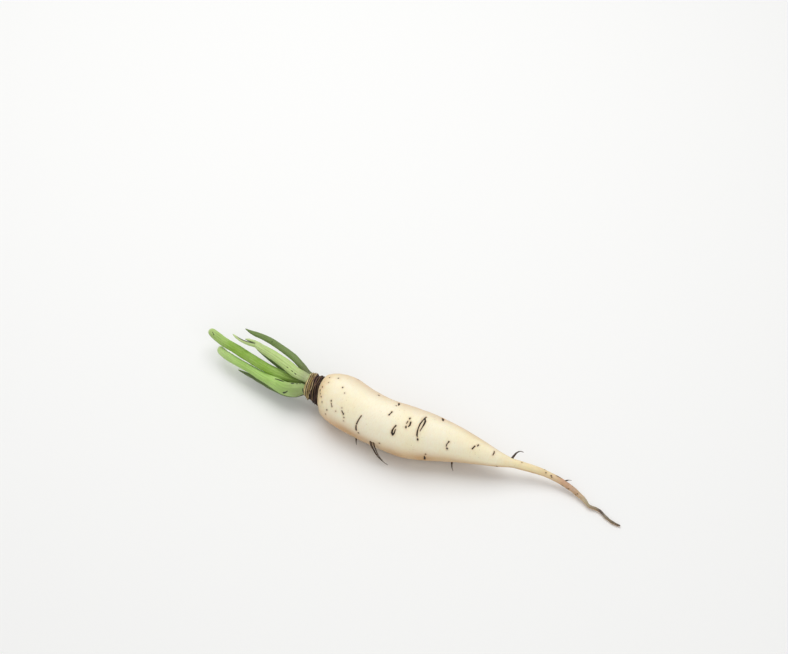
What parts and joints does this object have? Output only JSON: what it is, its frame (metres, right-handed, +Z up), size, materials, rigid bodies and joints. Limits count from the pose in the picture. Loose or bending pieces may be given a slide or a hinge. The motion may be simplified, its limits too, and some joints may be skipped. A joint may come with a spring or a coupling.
{
  "type": "white radish",
  "caption": "White radish root lying on its side, with a tapering tail, fine side roots, a ringed crown and leaf stalks cut short.",
  "frame": {"origin": "on the flat spot that the root rests on, under the thick part of the root", "axes": "+X runs along the root towards the tip of its tail, +Z is up, away from the surface it lies on"},
  "size_m": [0.3751, 0.0508, 0.0411],
  "materials": {
    "root_skin": "smooth, slightly waxy cream skin with tan scars and fine creases",
    "crown": "dry, matt, fibrous brown rings",
    "stalk_light": "soft satin light green",
    "stalk_bright": "soft satin bright green",
    "stalk_pale": "soft satin pale green",
    "stalk_olive": "soft satin olive green",
    "stalk_dark": "soft satin dark olive green"
  },
  "bodies": {
    "root": {"root": "root_skin", "crown_collar": "crown", "stalk_front": "stalk_light", "stalk_long": "stalk_bright", "stalk_forked": "stalk_pale", "stalk_pointed": "stalk_olive", "stalk_under": "stalk_dark", "stalk_behind": "stalk_dark"}
  },
  "joints": []
}
